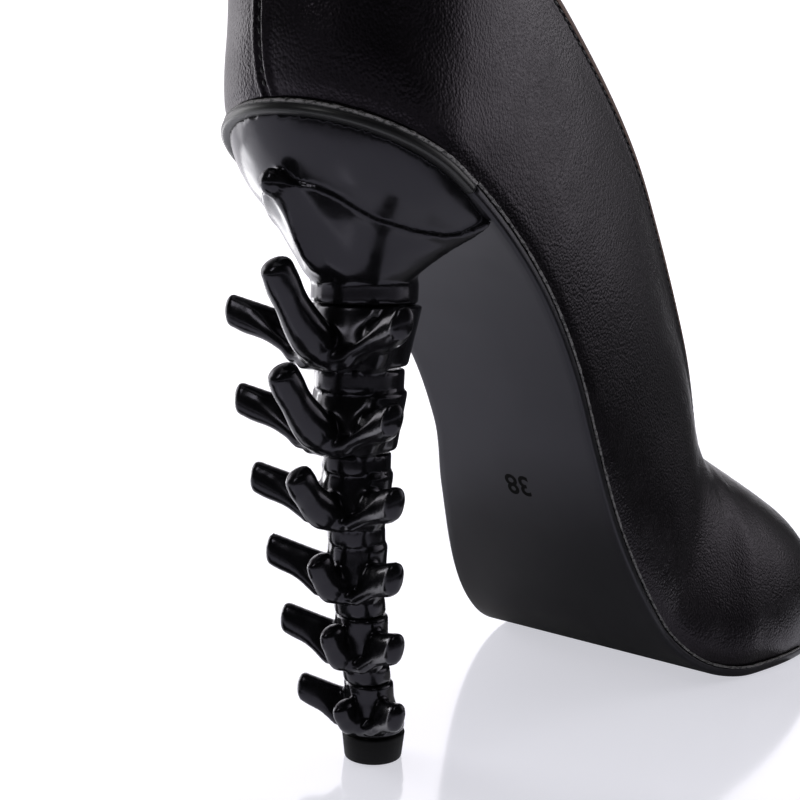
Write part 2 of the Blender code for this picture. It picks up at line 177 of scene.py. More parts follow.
# Web from the body to a wing: turn from straight back, reach and crest in radii, drop, share of its way
WEB_TURN = math.radians(19.0)
WEB_REACH = 1.08
WEB_CREST = 0.22
WEB_DROP = 3.4
WEB_STOP = 0.78

# Camera fitted to the photo: place in the shoe's frame, angles in degrees, focal length in pixels
CAMERA_PLACE = (-155.4, -162.3, 105.4)
CAMERA_HEADING = 40.05
CAMERA_PITCH = -7.26
CAMERA_ROLL = 1.26
CAMERA_FOCAL = 1254.0
CAMERA_MIDDLE_X = 398.65
PHOTO_SIDE = 800.0

tip_low, tip_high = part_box("top_piece")
ORIGIN = np.array([(tip_low[0] + tip_high[0]) / 2 - TIP_X * MM, (tip_low[1] + tip_high[1]) / 2, 0.0])


# Tables and curves
def smooth(table, column, at):
    """Value of a table's column at places in its first column, by a monotone cubic."""
    xs = table[:, 0]
    ys = table[:, column]
    step = np.diff(xs)
    rise = np.diff(ys) / step
    same = rise[:-1] * rise[1:] > 0
    total = np.where(same, rise[:-1] + rise[1:], 1.0)
    tangent = np.empty(len(xs))
    tangent[1:-1] = np.where(same, 2 * rise[:-1] * rise[1:] / total, 0.0)
    tangent[0] = rise[0]
    tangent[-1] = rise[-1]
    at = np.clip(at, xs[0], xs[-1])
    i = np.clip(np.searchsorted(xs, at) - 1, 0, len(step) - 1)
    t = (at - xs[i]) / step[i]
    start = ys[i] * (1 + 2 * t) * (1 - t) ** 2 + tangent[i] * step[i] * t * (1 - t) ** 2
    end = ys[i + 1] * t * t * (3 - 2 * t) + tangent[i + 1] * step[i] * t * t * (t - 1)
    return start + end


def ramp(value, start, end):
    """Soft step from 0 at start to 1 at end."""
    share = np.clip((value - start) / (end - start), 0.0, 1.0)
    return share * share * (3 - 2 * share)


def bump_at(value, place, width):
    """Soft bump of height 1 at a place."""
    return np.exp(-((value - place) / width) ** 2)


def running(steps):
    """Running total of steps, from zero."""
    return np.concatenate(([0.0], np.cumsum(steps)))


def unit(vectors):
    """Vectors of length 1 in the same directions."""
    return vectors / np.maximum(np.linalg.norm(vectors, axis=-1, keepdims=True), 1e-9)


PATH_POINTS = 507


def sole_path(gain):
    """Station, X, Z and slope along the sole's top face, with the tread on the floor."""
    station = np.linspace(0.0, SOLE_LENGTH, PATH_POINTS)
    slope = np.radians(smooth(SLOPE, 1, station)) * gain
    middle = (slope[1:] + slope[:-1]) / 2
    step = station[1] - station[0]
    x = running(np.cos(middle) * step)
    z = -running(np.sin(middle) * step)
    return station, x, z + SOLE_THICK - z.min(), slope


def fitted_path():
    """The sole path whose seat stands at the seat height."""
    low = 0.7
    high = 1.3
    for _ in range(40):
        gain = (low + high) / 2
        if sole_path(gain)[2][0] < SEAT_HEIGHT:
            low = gain
        else:
            high = gain
    return sole_path(gain)


PATH_S, PATH_X, PATH_Z, PATH_SLOPE = fitted_path()


def on_sole(station, y, above):
    """Points over the sole's top face, square to it."""
    station, y, above = np.broadcast_arrays(station, y, above)
    slope = np.interp(station, PATH_S, PATH_SLOPE)
    x = np.interp(station, PATH_S, PATH_X) + above * np.sin(slope)
    z = np.interp(station, PATH_S, PATH_Z) + above * np.cos(slope)
    return np.stack([x, y, z], axis=-1)


def end_round(station):
    """Share of the width that the round seat and toe leave at a station."""
    back = np.sqrt(np.clip(1 - np.clip(1 - station / HEEL_ROUND, 0.0, 1.0) ** 2, 0.0, 1.0))
    reach = np.clip((station - SOLE_LENGTH + TOE_ROUND) / TOE_ROUND, 0.0, 1.0)
    return back * (1 - reach ** 2.4) ** (1 / 2.4)


def half_width(side, station, inset=0.0):
    """Half width of the sole on the inner (-1) or outer (+1) side, drawn in by an inset."""
    station = np.asarray(station, float)
    own = np.clip((station - inset) / (SOLE_LENGTH - 2 * inset), 0.0, 1.0) * SOLE_LENGTH
    width = smooth(OUTLINE, 1 if side < 0 else 2, station) - inset
    return np.maximum(width, 0.0) * end_round(own)


def swing(station):
    """Sideways place of the sole's middle line."""
    return smooth(OUTLINE, 3, station)


def spread(start, end, count, ease="even"):
    """Places between two ends, closer together at an eased end."""
    turn = np.linspace(0.0, 1.0, count + 1)
    if ease == "start":
        turn = 1 - np.cos(turn * math.pi / 2)
    if ease == "end":
        turn = np.sin(turn * math.pi / 2)
    return start + (end - start) * turn


def join(*runs):
    """One array of places from runs that share their ends."""
    return np.concatenate([runs[0]] + [run[1:] for run in runs[1:]])


def on_row(points):
    """Points of the shoe's frame, in millimetres, in the row frame in metres."""
    return np.asarray(points, float).reshape(-1, 3) * MM + ORIGIN


# Meshes and pieces
def grid_faces(columns, rows, first=0, flip=False, closed=False):
    """Quads of a grid whose points run row by row inside each column."""
    wide = columns if closed else columns - 1
    i, j = np.meshgrid(np.arange(wide), np.arange(rows - 1), indexing="ij")
    here = i * rows + j
    there = ((i + 1) % columns) * rows + j
    quads = np.stack([here, there, there + 1, here + 1], axis=-1).reshape(-1, 4) + first
    return (quads[:, ::-1] if flip else quads).tolist()


def clean(mesh, weld, thin=False, turn=False):
    """Weld points that meet; where asked, drop thin faces and turn faces outwards."""
    work = bmesh.new()
    work.from_mesh(mesh)
    bmesh.ops.remove_doubles(work, verts=work.verts, dist=weld * MM)
    if thin:
        bmesh.ops.dissolve_degenerate(work, edges=work.edges, dist=weld * MM / 2)
    if turn:
        bmesh.ops.recalc_face_normals(work, faces=work.faces)
    work.to_mesh(mesh)
    work.free()


def add_piece(name, points, faces, surface, node=None, slot=None, weld=0.0):
    """A smooth mesh piece that rides on the shoe and may stand for a CAD node."""
    mesh = bpy.data.meshes.new(name)
    mesh.from_pydata(on_row(points).tolist(), [], faces)
    if weld:
        clean(mesh, weld, thin=True, turn=True)
    mesh.validate()
    mesh.shade_smooth()
    mesh.materials.append(surface)
    piece = bpy.data.objects.new(name, mesh)
    bpy.context.scene.collection.objects.link(piece)
    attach(piece, "root")
    if node:
        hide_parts(node)
    return piece


# Node trees and materials
class Nodes:
    """A node tree with short ways to add and link nodes."""

    def __init__(self, tree):
        self.tree = tree

    def link(self, source, target):
        self.tree.links.new(source, target)

    def node(self, kind, **values):
        """A node with its properties and input values set."""
        made = self.tree.nodes.new(kind)
        for key, value in values.items():
            if hasattr(made, key):
                setattr(made, key, value)
            else:
                made.inputs[key.replace("_", " ")].default_value = value
        return made

    def math(self, operation, first, second):
        """Two values taken together."""
        made = self.node("ShaderNodeMath", operation=operation)
        self.link(first, made.inputs[0])
        self.link(second, made.inputs[1])
        return made.outputs["Value"]

    def step(self, value, start, end, low=0.0, high=1.0):
        """A soft step from low to high while a value goes from start to end."""
        ends = {"From_Min": start, "From_Max": end, "To_Min": low, "To_Max": high}
        made = self.node("ShaderNodeMapRange", interpolation_type="SMOOTHSTEP", **ends)
        self.link(value, made.inputs["Value"])
        return made.outputs["Result"]


class Shader(Nodes):
    """A node material round one Principled shader; settings name its sockets, with _ for a space."""

    def __init__(self, name, colour, roughness, **settings):
        self.material = bpy.data.materials.new(name)
        self.material.use_nodes = True
        super().__init__(self.material.node_tree)
        self.shader = self.tree.nodes["Principled BSDF"]
        self.shader.inputs["Base Color"].default_value = (*colour, 1.0)
        self.shader.inputs["Roughness"].default_value = roughness
        for socket, value in settings.items():
            self.shader.inputs[socket.replace("_", " ")].default_value = value

    def use(self, socket, source):
        self.link(source, self.shader.inputs[socket])

    def place(self, scale=(1.0, 1.0, 1.0), turn=(0.0, 0.0, 0.0)):
        """Object coordinates in millimetres, stretched and turned by degrees."""
        angles = [math.radians(a) for a in turn]
        mapping = self.node("ShaderNodeMapping", Scale=[s / MM for s in scale], Rotation=angles)
        self.link(self.node("ShaderNodeTexCoord").outputs["Object"], mapping.inputs["Vector"])
        return mapping.outputs["Vector"]

    def noise(self, size, detail=2.0, roughness=0.5, at=None):
        """Noise whose features are about a size in millimetres."""
        made = self.node("ShaderNodeTexNoise", Scale=1.0 / size, Detail=detail, Roughness=roughness)
        self.link(at or self.place(), made.inputs["Vector"])
        return made.outputs["Fac"]

    def cells(self, size, smoothness=1.0, at=None):
        """Distance to the middle of soft cells of about a size in millimetres."""
        made = self.node("ShaderNodeTexVoronoi", feature="SMOOTH_F1", Scale=1.0 / size)
        made.inputs["Smoothness"].default_value = smoothness
        self.link(at or self.place(), made.inputs["Vector"])
        return made.outputs["Distance"]

    def mix(self, share, first, second):
        """A colour between two colours."""
        made = self.node("ShaderNodeMix", data_type="RGBA")
        for socket in made.inputs:
            if socket.type == "RGBA":
                socket.default_value = (*(first if socket.name == "A" else second), 1.0)
        self.link(share, made.inputs["Factor"])
        return next(socket for socket in made.outputs if socket.type == "RGBA")

    def bump(self, height, depth, after=None, sink=False):
        """A bump of a depth in millimetres, on top of another; sink turns it inwards."""
        made = self.node("ShaderNodeBump", Strength=1.0, Distance=depth * MM, invert=sink)
        self.link(height, made.inputs["Height"])
        if after:
            self.link(after, made.inputs["Normal"])
        return made.outputs["Normal"]


def leather():
    """Black grained leather with a soft sheen."""
    made = Shader(
        "upper_leather", (0.0024, 0.0022, 0.0026), 0.34, Specular_IOR_Level=0.34,
        Specular_Tint=(0.96, 0.83, 1.0, 1.0),
    )
    grain = made.place(scale=(1.0, 1.0, 0.85), turn=(0.0, 35.0, 20.0))
    pebbles = made.cells(0.52, smoothness=0.4, at=grain)
    normal = made.bump(made.noise(3.5), 0.05)
    normal = made.bump(made.noise(0.45, roughness=0.6, at=grain), 0.02, after=normal)
    made.use("Normal", made.bump(pebbles, 0.085, after=normal, sink=True))
    made.use("Roughness", made.step(made.noise(9.0), 0.3, 0.7, 0.30, 0.37))
    made.use("Base Color", made.mix(pebbles, (0.0012, 0.0011, 0.0013), (0.0032, 0.0029, 0.0034)))
    return made.material


def grained(name, roughness, dark, pale, size, detail, depth=0.0, rough=0.5, patches=0.0, level=0.5):
    """A plain material with one fine grain, shaded between two colours by it or by larger patches."""
    made = Shader(name, pale, roughness, Specular_IOR_Level=level)
    grain = made.noise(size, detail, rough)
    if depth:
        made.use("Normal", made.bump(grain, depth))
    made.use("Base Color", made.mix(made.noise(patches) if patches else grain, dark, pale))
    return made.material


def insole_cover():
    """Dark sock on the insole, with a fine grain."""
    made = Shader("insole_cover", (0.020, 0.019, 0.018), 0.55)
    made.use("Normal", made.bump(made.cells(0.7), 0.06))
    made.use("Base Color", made.mix(made.noise(15.0), (0.015, 0.014, 0.014), (0.026, 0.024, 0.023)))
    return made.material


def sole_satin():
    """Smooth satin sole, slightly uneven in its sheen."""
    made = Shader(
        "sole_satin", (0.006, 0.006, 0.0066), 0.34, Specular_IOR_Level=0.43,
        Specular_Tint=(0.88, 0.855, 1.0, 1.0),
    )
    clouds = made.noise(26.0, detail=3.0)
    made.use("Roughness", made.step(clouds, 0.3, 0.7, 0.30, 0.40))
    made.use("Base Color", made.mix(clouds, (0.005, 0.005, 0.0056), (0.008, 0.008, 0.0088)))
    made.use("Normal", made.bump(made.noise(0.35), 0.012, after=made.bump(made.noise(14.0), 0.10)))
    return made.material


def rand_edge():
    """Satin strip whose upper edge is scuffed and paler."""
    made = Shader("rand_edge", (0.016, 0.016, 0.017), 0.4)
    wear = made.node("ShaderNodeAttribute", attribute_name="wear").outputs["Fac"]
    scuffs = made.noise(0.9, detail=5.0, roughness=0.7, at=made.place(scale=(1.0, 1.0, 1.6)))
    worn = made.math("MULTIPLY", wear, made.step(scuffs, 0.38, 0.56))
    made.use("Base Color", made.mix(worn, (0.009, 0.009, 0.0095), (0.30, 0.29, 0.285)))
    made.use("Roughness", made.step(worn, 0.0, 1.0, 0.36, 0.75))
    made.use("Normal", made.bump(made.math("MULTIPLY", wear, scuffs), 0.35))
    return made.material


def heel_gloss():
    """High gloss black moulded plastic."""
    made = Shader(
        "heel_gloss", (0.004, 0.004, 0.0045), 0.10, Specular_IOR_Level=0.43,
        Specular_Tint=(0.89, 0.86, 1.0, 1.0),
    )
    made.use("Normal", made.bump(made.noise(7.0, detail=1.0), 0.06))
    smears = made.noise(4.0, detail=3.0)
    made.use("Roughness", made.step(smears, 0.35, 0.7, 0.17, 0.25))
    made.use("Base Color", made.mix(smears, (0.0035, 0.0035, 0.004), (0.006, 0.006, 0.0065)))
    return made.material


def mark_ink():
    """Dull black ink of the size mark."""
    made = Shader("mark_ink", (0.001, 0.001, 0.001), 0.6, Specular_IOR_Level=0.05)
    made.use("Roughness", made.step(made.noise(1.0), 0.3, 0.7, 0.42, 0.6))
    return made.material


# Upper
def rise_share(share):
    """Height of a section's curve as a share of its crown."""
    rest = 1 - share
    return 3 * 0.45 * rest ** 2 * share + 3 * rest * share ** 2 + share ** 3


SHARES = np.linspace(0.0, 1.0, 401)

# Share by which the counter is drawn in, length of the rounded toe and share by which its crown drops
COUNTER_DRAW = 0.055
TOE_CAP = 11.0
TOE_DROP = 0.24


def crown_height(station):
    """Height of a section's crown, rounded off at the very toe."""
    turn = np.clip((station - SOLE_LENGTH + TOE_CAP) / TOE_CAP, 0.0, 1.0)
    return smooth(LAST, 2, station) * (1 - TOE_DROP * (1 - np.sqrt(1 - turn ** 2)))


def share_at_height(height, station):
    """Share of a section's curve at a height above the sole."""
    return np.interp(height / crown_height(station), rise_share(SHARES), SHARES)


def top_share(station):
    """Where the topline cuts a section: 1 is the crown."""
    edge = share_at_height(smooth(LAST, 5, station), station)
    turn = np.clip((station - THROAT_START) / (THROAT - THROAT_START), 0.0, 1.0)
    return 1 - (1 - edge) * np.sqrt(1 - turn ** 3)


def low_share(side, station):
    """Where a section begins: the feather edge, or the edge of the peep toe above it."""
    away = half_width(side, station) / PEEP_HALF_WIDTH
    rise = PEEP_RISE * np.sqrt(np.clip(1 - away ** 2, 0.0, 1.0))
    at_toe = station > SOLE_LENGTH - TOE_ROUND
    return np.where(at_toe, share_at_height(rise, station), 0.0)


def last_points(side, station, share):
    """Points of the upper's outer face, from feather edge (0) to crown (1)."""
    lean = np.radians(smooth(LAST, 1, station))
    base = half_width(side, station)
    knee = base + smooth(LAST, 4, station) * end_round(station)
    shoulder = base * smooth(LAST, 3, station)
    rest = 1 - share
    y = base * rest ** 3 + 3 * knee * rest ** 2 * share + 3 * shoulder * rest * share ** 2
    z = crown_height(station) * rise_share(share)
    y = y * (1 - COUNTER_DRAW * ramp(z, 4.0, 18.0) * (1 - ramp(station, 8.0, 34.0)))
    back = np.clip(1 - station / HEEL_ROUND, 0.0, 1.0) ** 1.5 * smooth(COUNTER, 1, z)
    points = on_sole(station, swing(station) + side * y, GAP)
    points[..., 0] += z * np.sin(lean) - back
    points[..., 2] += z * np.cos(lean)
    return points


SEAM_TURN = 0.16
UPPER_STATIONS = join(
    HEEL_ROUND * (1 - np.cos(np.linspace(0.0, SEAM_TURN, 21))),
    HEEL_ROUND * (1 - np.cos(np.linspace(SEAM_TURN, math.pi / 2, 25))),
    spread(HEEL_ROUND, THROAT_START, 70),
    spread(THROAT_START, THROAT, 30, "end"),
    spread(THROAT, THROAT + 4.0, 12),
    spread(THROAT + 4.0, SOLE_LENGTH - TOE_ROUND, 18),
    spread(SOLE_LENGTH - TOE_ROUND, SOLE_LENGTH, 30, "end"),
)
EDGE_ROWS = np.arange(0.0, 4.3, 0.3)
FOOT_ROWS = np.array([0.0, 0.3, 0.7, 1.3, 2.0])
MIDDLE_ROWS = 44
FINE_LENGTH = 14.0
COLUMN_POINTS = 160


def upper_column(side, station):
    """Shares of one section's rows: fine at the foot and the topline, even between."""
    share = np.linspace(float(low_share(side, station)), float(top_share(station)), COLUMN_POINTS)
    line = last_points(side, np.full(COLUMN_POINTS, station), share)
    along = running(np.linalg.norm(np.diff(line, axis=0), axis=1))
    fine = min(1.0, along[-1] / FINE_LENGTH)
    foot = FOOT_ROWS * fine
    edge = along[-1] - EDGE_ROWS[::-1] * fine
    middle = np.linspace(foot[-1], edge[0], MIDDLE_ROWS + 1)
    return np.interp(join(foot, middle, edge), along, share)


def upper_side(side):
    """Grid of points and outward directions of one side of the upper."""
    shares = np.array([upper_column(side, s) for s in UPPER_STATIONS])
    points = last_points(side, np.broadcast_to(UPPER_STATIONS[:, None], shares.shape), shares)
    out = np.cross(np.gradient(points, axis=0), np.gradient(points, axis=1)) * -side
    out[0, :, 1] = 0.0
    out[-1] = (1.0, 0.0, 0.0)
    out[UPPER_STATIONS >= THROAT - 1e-6, -1, 1] = 0.0
    return points, unit(out)


SIDES = (-1, 1)
UPPER_GRIDS = {side: upper_side(side) for side in SIDES}
OPEN_COLUMNS = int(np.searchsorted(UPPER_STATIONS, THROAT - 1e-6)) + 1


def topline():
    """Points of the topline, from the throat round the inner side, the back and the outer side."""
    inner = UPPER_GRIDS[-1][0][:OPEN_COLUMNS, -1]
    outer = UPPER_GRIDS[1][0][:OPEN_COLUMNS, -1]
    return np.concatenate([inner[::-1], outer[1:]])


TOPLINE = topline()
STITCH_INSET = 2.0
SEAM_THREAD = 1.2
SEAM_SINK = 0.42


def tree_of(points):
    """A tree that finds the nearest of some points."""
    tree = KDTree(len(points))
    for k, point in enumerate(points):
        tree.insert(point, k)
    tree.balance()
    return tree


LINE_STEP = 0.15


def distance_to(line, points):
    """Distance of points from a line of points."""
    dense = []
    for a, b in zip(line[:-1], line[1:]):
        count = max(1, int(np.linalg.norm(b - a) / LINE_STEP))
        dense += [a + (b - a) * k / count for k in range(count)]
    tree = tree_of(dense)
    return np.array([tree.find(p)[2] for p in points.reshape(-1, 3)]).reshape(points.shape[:-1])


# Relief of the upper: the back seam, the stitched edge, the tuck at the sole and the waves
SEAM_RIDGE = 0.5
SEAM_DITCH = 0.55
SEAM_BANK = 0.12
EDGE_FOLD = 0.22
EDGE_DITCH = 0.38
EDGE_BANK = 0.16
EDGE_LIP = 0.14
FOOT_TUCK = 0.45
WAVES = 0.16


def seam_shift(height):
    """How far the back seam runs to the inner side just above the seat."""
    return 0.9 * np.clip(1 - height / 7.0, 0.0, 1.0) ** 2


def seam_relief(across, height):
    """Relief of the lapped back seam; across is measured from its middle to the inner side."""
    across = across - seam_shift(height)
    ditch = ramp(across, -2.0, -1.6) * (1 - ramp(across, -0.15, 0.15))
    ridge = ramp(across, -0.2, 0.2) * (1 - ramp(across, 0.4, 1.8))
    return SEAM_RIDGE * ridge - SEAM_DITCH * ditch + SEAM_BANK * bump_at(across, -2.3, 0.5)


def upper_relief(side, points):
    """How far the upper's face stands out for the seam, the stitched edge, the tuck and slow waves."""
    edge = distance_to(TOPLINE, points)
    rim = EDGE_FOLD * (1 - ramp(edge, 1.2, 1.9)) - EDGE_LIP * (1 - ramp(edge, 0.0, 0.7))
    rim -= EDGE_DITCH * bump_at(edge, STITCH_INSET, 0.42)
    rim += EDGE_BANK * bump_at(edge, STITCH_INSET + 0.9, 0.5)
    station = UPPER_STATIONS[:, None]
    x, y, z = np.moveaxis(points, -1, 0)
    height = z - np.interp(station, PATH_S, PATH_Z)
    seam = seam_relief(-y, height) * (1 - ramp(np.abs(y), 5.0, 8.0)) * ramp(edge, 0.6, 2.6)
    tuck = FOOT_TUCK * (1 - ramp(height, 0.0, 3.5)) * (station < SOLE_LENGTH - TOE_ROUND)
    waves = WAVES * np.sin(x / 9.0 + z / 13.0) * np.sin(z / 7.5 + side)
    for meeting in (points[:, -1:], points[:1], points[-1:]):
        waves = waves * ramp(np.linalg.norm(points - meeting, axis=-1), 2.0, 10.0)
    return rim + seam * (station < HEEL_ROUND) - tuck + waves


TRIM_WIDTH = 1.55
RIM_TURNS = np.linspace(0.0, math.pi, 7)
TOP_ROLL = 0.9
FOOT_ROLL = 0.1


def upper():
    """The leather upper: outer face, lining face and rolled rims."""
    points = []
    faces = []
    lined = []
    trim = []
    first = 0
    for side in SIDES:
        face, out = UPPER_GRIDS[side]
        columns, rows = face.shape[:2]
        skin = face + out * upper_relief(side, face)[..., None]
        inside = face - out * WALL
        points += [skin.reshape(-1, 3), inside.reshape(-1, 3)]
        edge = distance_to(TOPLINE, face)
        edge = np.maximum(edge[1:], edge[:-1])
        edge = np.maximum(edge[:, 1:], edge[:, :-1]).ravel()
        for quad, reach in zip(grid_faces(columns, rows, first, flip=side > 0), edge):
            (faces if reach > TRIM_WIDTH else trim).append(quad)
        lined += grid_faces(columns, rows, first + columns * rows, flip=side < 0)
        first += 2 * columns * rows
        top = (rows - 1, rows - 2, OPEN_COLUMNS, TOP_ROLL, trim)
        foot = (0, 1, columns, FOOT_ROLL, faces)
        for row, next_row, last_column, roll, kind in (top, foot):
            grow = unit(face[:, row] - face[:, next_row])
            middle = (skin[:, row] + inside[:, row]) / 2
            radius = (skin[:, row] - inside[:, row]) / 2
            bulge = grow * np.linalg.norm(radius, axis=-1, keepdims=True) * roll
            rings = [middle + radius * math.cos(a) + bulge * math.sin(a) for a in RIM_TURNS]
            points.append(np.stack(rings, axis=1)[:last_column].reshape(-1, 3))
            kind.extend(grid_faces(last_column, len(rings), first, flip=(side > 0) == bool(row)))
            first += last_column * len(rings)
    everything = np.concatenate(points)
    made = add_piece("upper_skin", everything, faces + lined + trim, LEATHER, "upper", "upper_leather")
    made.data.materials.append(LINING)
    made.data.materials.append(TRIM)
    index = np.repeat(np.arange(3, dtype=np.int32), (len(faces), len(lined), len(trim)))
    made.data.polygons.foreach_set("material_index", index)
    clean(made.data, 0.004)
    made.data.shade_smooth()


# Stitches
STITCH_TURNS = 8
STITCH_RINGS = 6
TOPLINE_STITCH = {"pitch": 2.3, "length": 1.9, "width": 0.55, "height": 0.5, "slant": 0.25}
SEAM_STITCH = {"pitch": 2.2, "length": 1.2, "width": 0.6, "height": 0.6, "slant": 0.3}


def along_line(line, pitch):
    """Places and directions at an even pitch along a line."""
    total = running(np.linalg.norm(np.diff(line, axis=0), axis=1))
    marks = np.arange(pitch / 2, total[-1], pitch)

    def at(where):
        return np.stack([np.interp(where, total, line[:, k]) for k in range(3)], axis=1)

    return at(marks), unit(at(marks + 0.3) - at(marks - 0.3))


def stitches(name, line, outward, pitch, length, width, height, slant):
    """A row of stitches, small stretched balls, along a line that lies on the upper."""
    tree = tree_of(line)
    points = []
    faces = []
    angles = np.linspace(0.0, math.pi, STITCH_RINGS)
    around = 2 * math.pi * np.arange(STITCH_TURNS)[:, None] / STITCH_TURNS
    reach = np.sin(angles) ** 0.7
    for k, (place, way) in enumerate(zip(*along_line(line, pitch))):
        out = outward[tree.find(place)[1]]
        lay = unit(way + np.cross(out, way) * slant)
        across = np.cross(out, lay)
        body = place - lay * (length / 2) * np.cos(angles)[:, None]
        body = body + across * (width / 2) * (reach * np.cos(around))[..., None]
        body = body + out * (height / 2) * (reach * np.sin(around))[..., None]
        points.append(body.reshape(-1, 3))
        faces += grid_faces(STITCH_TURNS, STITCH_RINGS, k * STITCH_TURNS * STITCH_RINGS, closed=True)
    add_piece(name, np.concatenate(points), faces, THREAD, slot="upper_leather", weld=0.002)


def inset_line(distance):
    """The line on the upper's face at a distance below the topline, with its outward directions."""
    line = []
    outward = []
    columns = np.arange(0, OPEN_COLUMNS, 2)
    for side in SIDES:
        face, out = UPPER_GRIDS[side]
        edge = distance_to(TOPLINE, face[columns, -len(EDGE_ROWS):])
        row = np.argmin(np.abs(edge - distance), axis=1) + face.shape[1] - len(EDGE_ROWS)
        order = slice(None, None, side)
        line.append(face[columns, row][order])
        outward.append(out[columns, row][order])
    return np.concatenate(line), np.concatenate(outward)


def seam_line():
    """The line of the back seam's thread in its ditch, with its outward directions."""
    face, out = UPPER_GRIDS[1]
    line = []
    outward = []
    for row in range(3, face.shape[1] - len(EDGE_ROWS)):
        aim = SEAM_THREAD - seam_shift(face[0, row, 2] - SEAT_HEIGHT)
        across = face[:, row, 1]
        k = max(1, int(np.searchsorted(across[:40], aim)))
        share = (aim - across[k - 1]) / (across[k] - across[k - 1])
        middle = face[k - 1, row] * (1 - share) + face[k, row] * share
        line.append(middle - out[k, row] * SEAM_SINK)
        outward.append(out[k, row])
    return np.array(line), np.array(outward)


# Slabs: outsole and insole
def slab(name, width, back, front, rings, across, surface, node, slot, ease):
    """A plate over the sole with shaped edges; rings are (inset, height above the sole)."""
    share = join(*ease)
    lines = []
    for inset, above in rings:
        stations = back + inset + share * (front - back - 2 * inset)
        left, right = (swing(stations) + side * width(side, stations, inset) for side in SIDES)
        y = np.concatenate([left, right[::-1]])
        lines.append(on_sole(np.concatenate([stations, stations[::-1]]), y, above))
    columns = np.stack(lines, axis=1)
    points = [columns.reshape(-1, 3)]
    faces = grid_faces(len(columns), len(rings), closed=True)
    first = len(points[0])
    fill = np.linspace(0.0, 1.0, across + 1)[None, :, None]
    for line, flip in ((lines[0], False), (lines[-1], True)):
        left = line[:len(share), None]
        right = line[:len(share) - 1:-1, None]
        points.append((left * (1 - fill) + right * fill).reshape(-1, 3))
        faces += grid_faces(len(share), across + 1, first, flip=flip)
        first += len(points[-1])
    add_piece(name, np.concatenate(points), faces, surface, node, slot, weld=0.003)


def edge_rings(top, bottom, radius, turns=4):
    """Rings of a slab with a rounded edge, from the top face to the bottom face."""
    angle = np.linspace(0.0, math.pi / 2, turns + 1)
    upper_half = [(radius * (1 - math.sin(a)), top - radius * (1 - math.cos(a))) for a in angle]
    lower_half = [(radius * (1 - math.cos(a)), bottom + radius * (1 - math.sin(a))) for a in angle]
    return upper_half + lower_half


def outsole_width(side, station, inset):
    """Half width of the outsole: a narrow tongue inside the rand, then the full sole."""
    tongue = half_width(side, station, RAND_WIDTH + GAP + inset)
    full = half_width(side, station, inset)
    return np.where(station <= RAND_JOINT, tongue, full)


def outsole():
    """The satin sole with softly rounded edges."""
    back = RAND_WIDTH + GAP
    joint = (RAND_JOINT - back) / (SOLE_LENGTH - back)
    ease = (
        spread(0.0, joint, 24, "start"),
        spread(joint, joint + 0.001, 1),
        spread(joint + 0.001, 0.86, 150),
        spread(0.86, 1.0, 40, "end"),
    )
    rings = edge_rings(0.0, -SOLE_THICK, 0.9)
    slab("outsole_plate", outsole_width, back, SOLE_LENGTH, rings, 30, SOLE, "outsole", "sole_satin", ease)


def insole_width(side, station, inset):
    """Half width of the insole inside the upper."""
    return half_width(side, station, INSOLE_EDGE + inset)


def insole():
    """The sock-covered insole inside the upper."""
    ease = (spread(0.0, 0.1, 24, "start"), spread(0.1, 0.86, 100), spread(0.86, 1.0, 30, "end"))
    rings = edge_rings(GAP + INSOLE_THICK, GAP, 0.5)
    front = SOLE_LENGTH - INSOLE_EDGE
    back = INSOLE_EDGE
    slab("insole_sock", insole_width, back, front, rings, 16, INSOLE, "insole", "insole_lining", ease)


# Rand
RAND_SECTION = (
    (-2.7, 0.05, 0.0), (-0.2, 0.05, 0.6), (0.10, -0.02, 1.0), (0.26, -0.18, 1.0), (0.32, -0.38, 1.0),
    (0.28, -0.62, 0.8), (0.14, -0.78, 0.3), (0.08, -0.88, 0.0), (0.20, -1.0, 0.0), (0.34, -1.25, 0.0),
    (0.38, -1.7, 0.0), (0.28, -2.15, 0.0), (0.04, -2.42, 0.0), (-0.3, -2.52, 0.0), (-2.7, -2.52, 0.0),
)
RAND_SHAKE = 0.035


def rand():
    """The strip round the seat: a scuffed bead over a smooth band."""
    half = join(
        HEEL_ROUND * (1 - np.cos(np.linspace(0.0, math.pi / 2, 60))),
        np.linspace(HEEL_ROUND, RAND_JOINT - GAP, 9),
    )
    walk = [(-1, s) for s in half[::-1]] + [(1, s) for s in half[1:]]
    count = len(walk)
    line = np.array([on_sole(s, side * half_width(side, s), 0.0) for side, s in walk])
    slope = np.array([np.interp(s, PATH_S, PATH_SLOPE) for _, s in walk])
    up = np.stack([np.sin(slope), np.zeros_like(slope), np.cos(slope)], axis=1)
    out = unit(np.cross(up, np.gradient(line, axis=0)))
    rows = len(RAND_SECTION)
    shake = np.random.default_rng(4).normal(0.0, 1.0, (count, rows)) * RAND_SHAKE
    grid = []
    for k, (reach, above, worn) in enumerate(RAND_SECTION):
        jitter = shake[:, k:k + 1] * worn
        grid.append(line + out * (reach + jitter) + up * (above + jitter))
    points = np.stack(grid + grid[:1], axis=1)
    faces = grid_faces(count, rows + 1)
    faces.append(list(range(rows)))
    faces.append([(count - 1) * (rows + 1) + k for k in reversed(range(rows))])
    made = add_piece("rand_strip", points, faces, RAND, "seat_rand", "rand_edge")
    wear = made.data.attributes.new("wear", "FLOAT", "POINT")
    levels = [row[2] for row in RAND_SECTION + RAND_SECTION[:1]]
    wear.data.foreach_set("value", np.tile(levels, count).astype(np.float32))
    clean(made.data, 0.002, turn=True)


WELT_RADIUS = 0.3
WELT_SHAKE = 0.18
WELT_WEAR = 0.55
WELT_END = 236.0
WELT_TURNS = np.linspace(0.0, 2 * math.pi, 9)[:, None]


